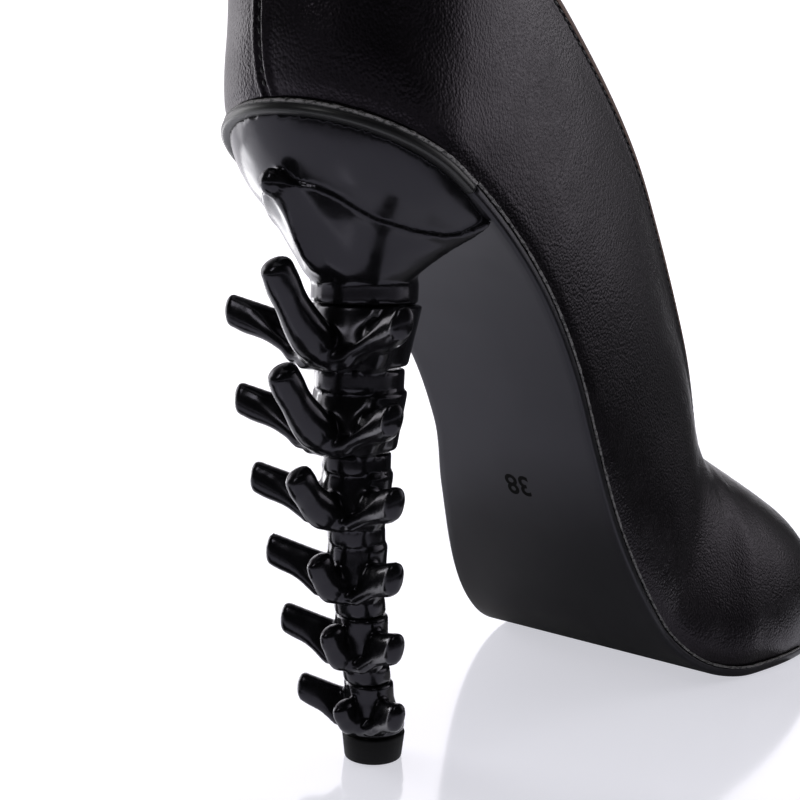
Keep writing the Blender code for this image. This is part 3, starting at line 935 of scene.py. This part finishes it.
def welt():
    """The thin scuffed line between upper and sole, from the rand's ends towards the toe."""
    rough = np.random.default_rng(7)
    stations = np.linspace(RAND_JOINT, WELT_END, 260)
    points = []
    faces = []
    for side in SIDES:
        line = on_sole(stations, swing(stations) + side * half_width(side, stations), 0.05)
        way = unit(np.gradient(line, axis=0))
        out = unit(np.cross(way, (0.0, 0.0, 1.0)) * -side)
        up = np.cross(out, way) * side
        size = WELT_RADIUS * (1 + WELT_SHAKE * rough.normal(0.0, 1.0, (len(line), 1, 1)))
        ring = out[:, None] * np.cos(WELT_TURNS) + up[:, None] * np.sin(WELT_TURNS)
        faces += grid_faces(len(line), len(WELT_TURNS), len(points) * len(line) * len(WELT_TURNS))
        points.append(line[:, None] + ring * size)
    made = add_piece("welt_line", np.concatenate(points), faces, RAND, "seat_rand", "rand_edge", weld=0.002)
    wear = made.data.attributes.new("wear", "FLOAT", "POINT")
    wear.data.foreach_set("value", np.full(len(made.data.vertices), WELT_WEAR, dtype=np.float32))


# Heel as a field of rounded forms
FIELD_STEP = 0.47
CELL_CORNERS = ((0, 0), (1, 0), (1, 1), (0, 1))
FIELD_LOW = np.array([-3.0, -27.0, TIP_HEIGHT + GAP - 1.4])
FIELD_HIGH = np.array([43.5, 27.0, 128.0])


def soft_min(a, b, blend):
    """Union of two fields with a fillet."""
    h = np.clip(0.5 + 0.5 * (b - a) / blend, 0.0, 1.0)
    return b + (a - b) * h - blend * h * (1 - h)


def soft_max(a, b, blend):
    """Intersection of two fields with a rounded edge."""
    return -soft_min(-a, -b, blend)


class Field:
    """Distances on a grid, below zero inside the heel."""

    def __init__(self):
        counts = np.ceil((FIELD_HIGH - FIELD_LOW) / FIELD_STEP).astype(int) + 1
        self.axes = [FIELD_LOW[k] + FIELD_STEP * np.arange(counts[k]) for k in range(3)]
        self.value = np.full(counts, 9.0, dtype=np.float32)

    def join(self, low, high, form, blend):
        """Unite a form, given as a function of coordinates, inside a box."""
        cut = []
        for axis, start, end in zip(self.axes, low, high):
            first, last = np.searchsorted(axis, (start, end))
            cut.append(slice(max(0, first - 1), last + 1))
        cut = tuple(cut)
        x, y, z = np.meshgrid(*(a[c] for a, c in zip(self.axes, cut)), indexing="ij", sparse=True)
        self.value[cut] = soft_min(self.value[cut], form(x, y, z), blend)


def rounded_disc(place, radius, half, edge):
    """A disc with rounded edges on the column's middle line."""
    def form(x, y, z):
        out = np.hypot(x - smooth(AXIS, 1, z), y) - radius + edge
        up = np.abs(z - place) - half + edge
        return np.minimum(np.maximum(out, up), 0.0) + np.hypot(np.maximum(out, 0), np.maximum(up, 0)) - edge
    return form


def turned(table, low, high):
    """A turned form on the column's middle line; table is share from the top and radius."""
    def form(x, y, z):
        share = (high - z) / (high - low)
        out = np.hypot(x - smooth(AXIS, 1, z), y) - smooth(table, 1, share)
        up = np.abs(z - (low + high) / 2) - (high - low) / 2
        return soft_max(out, up, 0.8)
    return form


def chain(links, reach, corner):
    """Flat balls along a line; links are (centre, way, aside, upward, half height, half width)."""
    def form(x, y, z):
        best = None
        for centre, way, aside, upward, high, wide in links:
            dx, dy, dz = x - centre[0], y - centre[1], z - centre[2]
            a = np.abs(dx * way[0] + dy * way[1] + dz * way[2]) / reach
            b = np.abs(dx * aside[0] + dy * aside[1] + dz * aside[2]) / wide
            c = np.abs(dx * upward[0] + dy * upward[1] + dz * upward[2]) / high
            size = ((b ** corner + c ** corner) ** (2.0 / corner) + a * a) ** 0.5
            slope = np.sqrt((a / reach) ** 2 + (b / wide) ** 2 + (c / high) ** 2)
            away = size * (size - 1) / np.maximum(slope, 1e-6)
            best = away if best is None else np.minimum(best, away)
        return best

    centres = np.stack([link[0] for link in links])
    margin = max(max(link[4:]) for link in links) + 3.0
    return centres.min(axis=0) - margin, centres.max(axis=0) + margin, form


CHAIN_SHARES = np.linspace(0.0, 1.0, 26)


def horn(root, tip, root_size, tip_size):
    """A blunt horn that swells a little before its end; sizes are half height and half width."""
    sag = np.array([-0.5, 0.0, -0.9])
    aside = np.array([0.0, 1.0, 0.0])
    links = []
    for t in CHAIN_SHARES:
        centre = root + (tip - root) * t + sag * 4 * t * (1 - t)
        way = unit(tip - root + sag * 4 * (1 - 2 * t))
        swell = (1 + 0.10 * bump_at(t, 0.86, 0.14)) * (0.8 + 0.2 * ramp(t, 0.0, 0.28))
        size = (root_size + (tip_size - root_size) * ramp(t, 0.25, 0.8)) * swell
        links.append((centre, way, aside, np.cross(aside, way), *size))
    return chain(links, 0.7 * tip_size[1], 1.9)


def blade(root, tip, side, crests, foot, widths, tip_high, hang):
    """Links of a leaning blade that hangs to the foot for a share of its length, then is a finger."""
    links = []
    way = unit(tip - root)
    aside = unit(np.cross(way, (0.0, 0.0, 1.0)))
    lean_up = np.cross(aside, way) * math.cos(WING_LEAN) + aside * side * math.sin(WING_LEAN)
    lean_aside = np.cross(way, lean_up)
    for t in CHAIN_SHARES:
        crest = crests[0] + (crests[1] - crests[0]) * t
        hanging = (crest - foot - 0.2) / (2 * math.cos(WING_LEAN))
        swell = 1 + 0.06 * bump_at(t, 0.86, 0.14)
        finger = (tip_high * swell - hanging) * ramp(t, hang - 0.1, hang + 0.08)
        high = hanging + min(finger, 0.0)
        wide = (widths[0] + (widths[1] - widths[0]) * t) * swell
        centre = root + (tip - root) * t
        centre[2] = crest - high * math.cos(WING_LEAN)
        links.append((centre, way, lean_aside, lean_up, high, wide))
    return links


def wing(back, radius, foot, side, row):
    """A side wing: a finger with a blade under its root, and a web from the foot of the horn."""
    tip_x, tip_y, tip_z, root_width, tip_high, tip_wide = row
    tip = np.array([tip_x + 0.5, side * (tip_y - 0.9), tip_z])
    middle = np.array([back, 0.0, tip_z])
    inner = WING_ROOT * radius
    root = middle + unit(tip - middle) * inner
    length = np.linalg.norm(tip - root)
    top = tip_z + tip_high
    root_top = max(top - WING_RISE * length, foot + 2.4)
    hang = ((WIDE_HANG if radius > WIDE_RADIUS else NARROW_HANG) * radius - inner) / length
    finger = blade(root, tip, side, (root_top, top), foot, (root_width, tip_wide), tip_high, hang)
    start = middle + np.array([-math.cos(WEB_TURN), side * math.sin(WEB_TURN), 0.0]) * radius * WEB_REACH
    stop = start + (tip - start) * WEB_STOP
    crests = (foot + WEB_CREST * radius, top - WEB_DROP)
    web = blade(start, stop, side, crests, foot, (0.2 * radius, 0.3 * tip_wide), 0.45 * tip_high, 0.3)
    return chain(finger, 0.75 * tip_wide, 2.4), chain(web, 0.75 * tip_wide, 2.0)


BULB_MIDDLE = 22.0
BULB_FOOT = COLLAR_Z + 1.4
BULB_RISE = 1.3
CALYX_PROUD = 1.3

# Ridge of the calyx: turn from straight back (0) to straight ahead (1), share of the way down
RIDGE = np.array([
    (0.0, 0.35), (0.06, 0.352), (0.116, 0.36), (0.152, 0.375), (0.195, 0.397), (0.27, 0.45),
    (0.36, 0.486), (0.467, 0.49), (0.566, 0.45), (0.605, 0.36), (0.628, 0.16), (0.642, 0.0), (1.0, 0.0),
])

# Spur of the calyx at the back: share of the way down, how far it stands out, half width
SPUR = np.array([
    (0.0, 1.0, 2.2), (0.22, 2.0, 2.3), (0.36, 3.8, 2.6), (0.45, 4.4, 3.0), (0.6, 3.5, 3.6),
    (0.8, 2.2, 4.6), (1.0, 0.6, 6.0),
])

# Keel of the calyx on the middle plane, from the end of its spur: x, z, half width
KEEL = np.array([
    (1.5, 115.1, 2.6), (3.4, 114.5, 2.5), (5.2, 113.2, 2.2), (6.8, 111.0, 1.8), (7.9, 108.6, 1.5),
    (9.3, 105.4, 1.4), (11.3, 102.4, 1.4), (13.5, 100.6, 1.4),
])


def keel():
    """Rounded edge of the calyx down the back, with the spur at its top."""
    at = np.linspace(0.0, len(KEEL) - 1.0, 40)
    index = np.arange(float(len(KEEL)))
    x, z, half = (np.interp(at, index, KEEL[:, k]) for k in range(3))
    flat = ((1.0, 0.0, 0.0), (0.0, 1.0, 0.0), (0.0, 0.0, 1.0))
    links = [(np.array([a, 0.0, b]), *flat, c, c * 0.95) for a, b, c in zip(x, z, half)]
    return chain(links, 2.2, 2.0)


def bulb_outline():
    """Angle from straight back and distance from the bulb's middle of its top edge."""
    stations = join(spread(CUP_INSET, HEEL_ROUND, 60, "start"), spread(HEEL_ROUND, CUP_FRONT, 20))
    edge = on_sole(stations, half_width(1, stations, CUP_INSET), -RAND_THICK - GAP)
    front = on_sole(np.full(30, CUP_FRONT), np.linspace(1.0, 0.0, 30) * edge[-1, 1], -RAND_THICK - GAP)
    line = np.concatenate([edge, front[1:]])
    angle = np.arctan2(line[:, 1], BULB_MIDDLE - line[:, 0])
    return angle, np.hypot(line[:, 1], BULB_MIDDLE - line[:, 0])


def bulb(x, y, z):
    """The heel's bulb under the seat, with the calyx that stands proud below its ridge."""
    below = on_sole(np.linspace(0.0, 60.0, 200), 0.0, -RAND_THICK - GAP)
    roof = np.interp(x, below[:, 0], below[:, 2]) + BULB_RISE
    angle = np.abs(np.arctan2(y, BULB_MIDDLE - x))
    turn = angle / math.pi
    outline_angle, outline_size = bulb_outline()
    wide = np.interp(angle, outline_angle, outline_size)
    ahead = float(smooth(AXIS, 1, BULB_FOOT)) - BULB_MIDDLE
    ring = COLLAR_RADIUS - 0.5
    narrow = -ahead * np.cos(angle) + np.sqrt(ring ** 2 - (ahead * np.sin(angle)) ** 2)
    share = np.clip((roof - z) / (roof - BULB_FOOT), 0.0, 1.0)
    front = ramp(turn, 0.42, 0.72)
    pull = smooth(BULB, 1, share) * (1 - front) + share ** 1.4 * front
    ridge = smooth(RIDGE, 1, turn)
    proud = ramp(share, ridge - 0.012, ridge + 0.03)
    calyx = CALYX_PROUD * (1 - ramp(share, ridge + 0.12, 1.0)) + 0.3 * bump_at(share, ridge + 0.03, 0.03)
    spur = smooth(SPUR, 1, share) * np.exp(-np.abs(y / smooth(SPUR, 2, share)) ** 2.2) * (angle < 1.5)
    size = wide + (narrow - wide) * pull + (calyx + spur) * proud
    away = (np.hypot(y, BULB_MIDDLE - x) - size) * 0.8
    away = soft_max(away, (z - roof) * 0.9, 0.35)
    return soft_max(away, BULB_FOOT - 1.2 - z, 0.3)


# Skirt of a vertebra: degrees from straight back of its edge at top and foot, and its notch at the back
CREST_TOP = 60.0
CREST_FOOT = 24.0
SKIRT_TURN = 16.0
SKIRT_LIFT = 1.6


def vertebra_body(place, radius, half, foot):
    """A vertebra's body: a flared, notched skirt at the back and a tapering panel in front."""
    top = place - half

    def form(x, y, z):
        dx = smooth(AXIS, 1, z) - x
        turn = np.degrees(np.abs(np.arctan2(y, dx)))
        share = np.clip((top - z) / (top - foot), 0.0, 1.0)
        back = 0.90 + 0.32 * share ** 1.3
        front = 1.09 - 0.2 * share
        crest = CREST_TOP + (CREST_FOOT - CREST_TOP) * share
        size = back + (front - back) * ramp(turn, crest - 8.0, crest + 8.0)
        size = size + 0.05 * bump_at(turn, 20.0, 9.0) * ramp(share, 0.3, 0.8)
        body = soft_max((np.hypot(dx, y) - size * radius) * 0.85, z - top + 0.2, 0.3)
        lift = SKIRT_LIFT * np.maximum(1 - turn / SKIRT_TURN, 0.0)
        return soft_max(body, foot + lift - z, 0.5)
    return form


def heel_field():
    """All forms of the heel united on one grid."""
    field = Field()
    field.join((-3, -27, BULB_FOOT - 2), (44, 27, 128), bulb, 0.1)
    field.join(*keel(), 1.6)
    for (place, radius, half, foot), horn_row, wing_row in zip(DISCS, HORNS, WINGS):
        top = place - half
        back = float(smooth(AXIS, 1, foot + 3.0))
        part = Field()
        part.join((2, -20, foot - 1.5), (43, 20, top + 1.0), vertebra_body(place, radius, half, foot), 0.1)
        root = np.array([back - radius * 0.95, 0.0, foot + 2.2])
        tip = np.array([horn_row[0] + 1.4, 0.0, horn_row[1] - 0.8])
        part.join(*horn(root, tip, horn_row[2:4], horn_row[4:]), 1.5)
        for side in SIDES:
            for form in wing(back, radius, foot, side, wing_row):
                part.join(*form, 0.24 * radius)
        field.value = soft_min(field.value, part.value, 0.25)
        disc = rounded_disc(place, radius, half, 0.4)
        field.join((5, -14, place - half - 1), (43, 14, place + half + 1), disc, 0.2)
    base = np.array([(0.0, 5.0), (0.35, 5.3), (0.62, 6.3), (0.8, TIP_RADIUS_TOP), (1.0, TIP_RADIUS_TOP)])
    foot_low = TIP_HEIGHT + GAP
    field.join((15, -12, foot_low - 2), (43, 12, 14), turned(base, foot_low, 12.5), 0.4)
    return field


def surface_net(field):
    """Quads over the zero surface of a field, a point in each cell that the surface crosses."""
    value = field.value
    inside = value < 0
    cells = tuple(n - 1 for n in value.shape)
    total = np.zeros(cells + (3,), dtype=np.float32)
    count = np.zeros(cells, dtype=np.float32)
    crossings = []

    def part(array, axis, start):
        """The stretch of an array along an axis that is as long as the cells."""
        return array[(slice(None),) * axis + (slice(start, start + cells[axis]),)]

    for axis in range(3):
        second, third = (k for k in range(3) if k != axis)
        a = part(value, axis, 0)
        starts_inside = part(inside, axis, 0)
        cross = starts_inside != part(inside, axis, 1)
        crossings.append((cross, starts_inside))
        share = np.where(cross, a / np.where(cross, a - part(value, axis, 1), 1.0), 0.0)
        for i, j in CELL_CORNERS:
            near = part(part(cross, second, i), third, j)
            total[..., axis] += part(part(share, second, i), third, j)
            total[..., second] += near * i
            total[..., third] += near * j
            count += near
    active = count > 0
    index = np.full(cells, -1, dtype=np.int64)
    index[active] = np.arange(active.sum())
    points = FIELD_LOW + FIELD_STEP * (np.argwhere(active) + total[active] / count[active][:, None])
    faces = []
    for axis, (cross, starts_inside) in enumerate(crossings):
        others = [(axis + 1) % 3, (axis + 2) % 3]
        spots = np.argwhere(cross)
        spots = spots[np.all([(spots[:, k] > 0) & (spots[:, k] < cells[k]) for k in others], axis=0)]
        ring = []
        for corner in CELL_CORNERS:
            near = spots.copy()
            near[:, others] -= corner
            ring.append(index[tuple(near.T)])
        quads = np.stack(ring, axis=1)
        flip = ~starts_inside[tuple(spots.T)]
        quads[flip] = quads[flip][:, ::-1]
        faces += quads.tolist()
    return points, faces


def heel():
    """The moulded heel, smoothed a little after the net is drawn."""
    made = add_piece("heel_moulding", *surface_net(heel_field()), HEEL, "heel", "heel_gloss")
    ease = made.modifiers.new("ease", "SMOOTH")
    ease.factor = 0.5
    ease.iterations = 6


# Top piece
TIP_PROFILE = (
    (0.0, 0.0), (TIP_RADIUS_LOW - 0.35, 0.0), (TIP_RADIUS_LOW - 0.1, 0.1), (TIP_RADIUS_LOW, 0.35),
    (TIP_RADIUS_TOP - 0.05, TIP_HEIGHT - 0.4), (TIP_RADIUS_TOP - 0.15, TIP_HEIGHT - 0.1),
    (TIP_RADIUS_TOP - 0.45, TIP_HEIGHT), (0.0, TIP_HEIGHT),
)


def top_piece(sides=72):
    """The rubber lift, turned from its profile."""
    points = []
    for j in range(sides):
        angle = 2 * math.pi * j / sides
        points += [(TIP_X + r * math.cos(angle), r * math.sin(angle), z) for r, z in TIP_PROFILE]
    faces = grid_faces(sides, len(TIP_PROFILE), closed=True)
    add_piece("top_piece_lift", points, faces, TIP, "top_piece", "top_piece_rubber", weld=0.002)


# Size mark on the sole
MARK = "38"
MARK_STATION = 117.2
MARK_Y = -0.3
MARK_HEIGHT = 6.0
MARK_SQUEEZE = 0.84
MARK_WEIGHT = 0.02


def size_mark():
    """The plain size number printed on the sole, its top towards the toe."""
    words = bpy.data.curves.new("size_mark", "FONT")
    words.body = MARK
    words.size = 1.0
    words.offset = MARK_WEIGHT
    words.align_x = "CENTER"
    words.align_y = "CENTER"
    text = bpy.data.objects.new("size_mark_text", words)
    bpy.context.scene.collection.objects.link(text)
    graph = bpy.context.evaluated_depsgraph_get()
    mesh = bpy.data.meshes.new_from_object(text.evaluated_get(graph))
    bpy.data.objects.remove(text)
    mesh.calc_loop_triangles()
    faces = [list(triangle.vertices) for triangle in mesh.loop_triangles]
    flat = np.array([vertex.co[:2] for vertex in mesh.vertices])
    middle = (flat.max(axis=0) + flat.min(axis=0)) / 2
    scale = MARK_HEIGHT / (flat[:, 1].max() - flat[:, 1].min())
    flat = (flat - middle) * scale * (MARK_SQUEEZE, 1.0)
    points = on_sole(MARK_STATION + flat[:, 1], MARK_Y + flat[:, 0], -SOLE_THICK - 0.03)
    add_piece("size_mark", points, faces, INK, slot="sole_satin")


# Stage, light and camera
def floor():
    """A pale glossy studio floor."""
    made = Shader(
        "studio_floor", (0.78, 0.79, 0.84), 0.10, Specular_IOR_Level=0.5, IOR=2.2,
        Emission_Color=(0.93, 0.93, 1.0, 1.0), Emission_Strength=0.585,
    )
    bpy.ops.mesh.primitive_plane_add(size=12.0, location=(0.0, 0.0, -0.0002))
    plane = bpy.context.object
    plane.name = "studio_floor"
    plane.data.materials.append(made.material)


def world(front, back, heading):
    """A white studio, darker on the side that the shoe's near side faces; the backdrop is plain white."""
    sky = bpy.data.worlds.new("studio")
    bpy.context.scene.world = sky
    sky.use_nodes = True
    made = Nodes(sky.node_tree)
    background = sky.node_tree.nodes["Background"]
    background.inputs["Color"].default_value = (0.985, 0.955, 1.0, 1.0)
    direction = made.node("ShaderNodeTexCoord").outputs["Generated"]
    turn = made.node("ShaderNodeVectorMath", operation="DOT_PRODUCT")
    angle = math.radians(heading)
    turn.inputs[1].default_value = (math.cos(angle), math.sin(angle), 0.15)
    made.link(direction, turn.inputs[0])
    height = made.node("ShaderNodeSeparateXYZ")
    made.link(direction, height.inputs["Vector"])
    walls = made.step(turn.outputs["Value"], -0.1, 0.6, front, back)
    ceiling = made.step(height.outputs["Z"], 0.35, 0.8, 1.0, 0.1)
    seen = made.node("ShaderNodeLightPath").outputs["Is Camera Ray"]
    strength = made.math("MAXIMUM", made.math("MULTIPLY", walls, ceiling), seen)
    made.link(strength, background.inputs["Strength"])


def card(name, corners, grey):
    """A one-sided card that reflections alone see: not the camera, soft light or shadows."""
    made = Shader(name, (grey, grey, grey), 0.9, Specular_IOR_Level=0.0)
    behind = made.node("ShaderNodeNewGeometry").outputs["Backfacing"]
    made.use("Alpha", made.step(behind, 0.0, 1.0, 1.0, 0.0))
    mesh = bpy.data.meshes.new(name)
    mesh.from_pydata(on_row(corners).tolist(), [], [list(range(len(corners)))])
    face = mesh.polygons[0]
    if face.normal.dot(Vector(on_row(SHOE_MIDDLE)[0]) - face.center) < 0:
        mesh.flip_normals()
    mesh.materials.append(made.material)
    plate = bpy.data.objects.new(name, mesh)
    bpy.context.scene.collection.objects.link(plate)
    plate.visible_camera = False
    plate.visible_diffuse = False
    plate.visible_shadow = False


def softbox(name, place, target, size, power):
    """A rectangular soft light aimed at a point; places in millimetres of the shoe's frame."""
    light = bpy.data.lights.new(name, "AREA")
    light.shape = "RECTANGLE"
    light.size, light.size_y = (s * MM for s in size)
    light.energy = power
    lamp = bpy.data.objects.new(name, light)
    bpy.context.scene.collection.objects.link(lamp)
    spot, aim = (Vector(point) for point in on_row([place, target]))
    lamp.location = spot
    lamp.rotation_euler = (aim - spot).to_track_quat("-Z", "Y").to_euler()


def camera():
    """The camera that took the photo."""
    lens = bpy.data.cameras.new("camera")
    lens.sensor_width = 36.0
    lens.lens = CAMERA_FOCAL / PHOTO_SIDE * lens.sensor_width
    lens.shift_x = (PHOTO_SIDE / 2 - CAMERA_MIDDLE_X) / PHOTO_SIDE
    lens.clip_start = 0.01
    made = bpy.data.objects.new("camera", lens)
    bpy.context.scene.collection.objects.link(made)
    heading = Matrix.Rotation(math.radians(CAMERA_HEADING - 90.0), 4, "Z")
    pitch = Matrix.Rotation(math.radians(CAMERA_PITCH + 90.0), 4, "X")
    roll = Matrix.Rotation(math.radians(CAMERA_ROLL), 4, "Z")
    place = Matrix.Translation(Vector(on_row(CAMERA_PLACE)[0]))
    made.matrix_world = place @ heading @ pitch @ roll
    bpy.context.scene.camera = made


SHOE_MIDDLE = (60, 0, 90)

# Soft lights: name, place, target, width and height, power
LIGHTS = (
    ("top_box", (40, 40, 620), (60, 0, 80), (500, 380), 0.2),
    ("left_box", (-110, 560, 230), (20, 0, 120), (280, 420), 0.85),
    ("near_box", (-330, -20, 420), (25, 0, 60), (70, 180), 0.16),
    ("low_box", (70, 310, 35), (10, 0, 110), (160, 60), 0.12),
    ("right_box", (749, -302, 345), (100, 0, 140), (240, 170), 0.12),
)

# Cards: name, corners, grey
CARD_LIFT = 0.4
STANDING_CARDS = (
    ("standing_card", ((561, -213, 0), (590, 64, 0), (590, 64, 330), (561, -213, 330)), 0.12),
    ("side_card", (
        (420, -460, 0), (561, -213, 0), (561, -213, 150), (525, -276, 65), (420, -460, 65),
    ), 0.02),
)
LYING_CARDS = (
    ("lying_card", (
        (-420, 320), (-230, -60), (-120, -210), (20, -220), (125, -95), (265, -52), (696, 125), (900, -300),
        (200, -900), (-800, -600), (-900, 200),
    ), 0.02),
    ("back_card", ((-110, 80), (-20, 2), (10, 40), (-80, 130)), 0.02),
    ("ball_card", ((54, -45), (150, -60), (150, 60), (68, 60)), 0.97),
)

LEATHER = leather()
LINING = grained("lining", 0.6, (0.016, 0.013, 0.012), (0.026, 0.021, 0.018), 0.5, 3.0, 0.05, patches=12.0)
TRIM = grained("raw_edge", 0.6, (0.09, 0.054, 0.040), (0.20, 0.126, 0.096), 0.5, 4.0, level=0.3)
THREAD = grained("thread", 0.45, (0.008, 0.008, 0.009), (0.03, 0.03, 0.031), 0.25, 2.0, 0.06)
SOLE = sole_satin()
INSOLE = insole_cover()
RAND = rand_edge()
HEEL = heel_gloss()
TIP = grained(
    "top_piece_rubber", 0.6, (0.003, 0.003, 0.0032), (0.008, 0.008, 0.0084), 0.5, 4.0, 0.06, 0.7, level=0.14
)
INK = mark_ink()

upper()
stitches("topline_stitches", *inset_line(STITCH_INSET), **TOPLINE_STITCH)
stitches("seam_stitches", *seam_line(), **SEAM_STITCH)
outsole()
insole()
rand()
welt()
heel()
top_piece()
size_mark()
floor()
world(front=0.010, back=1.36, heading=26.0)
for light in LIGHTS:
    softbox(*light)
for name, corners, grey in STANDING_CARDS:
    card(name, corners, grey)
for name, corners, grey in LYING_CARDS:
    card(name, [(x, y, CARD_LIFT) for x, y in corners], grey)
camera()
bpy.context.scene.view_settings.view_transform = "Standard"
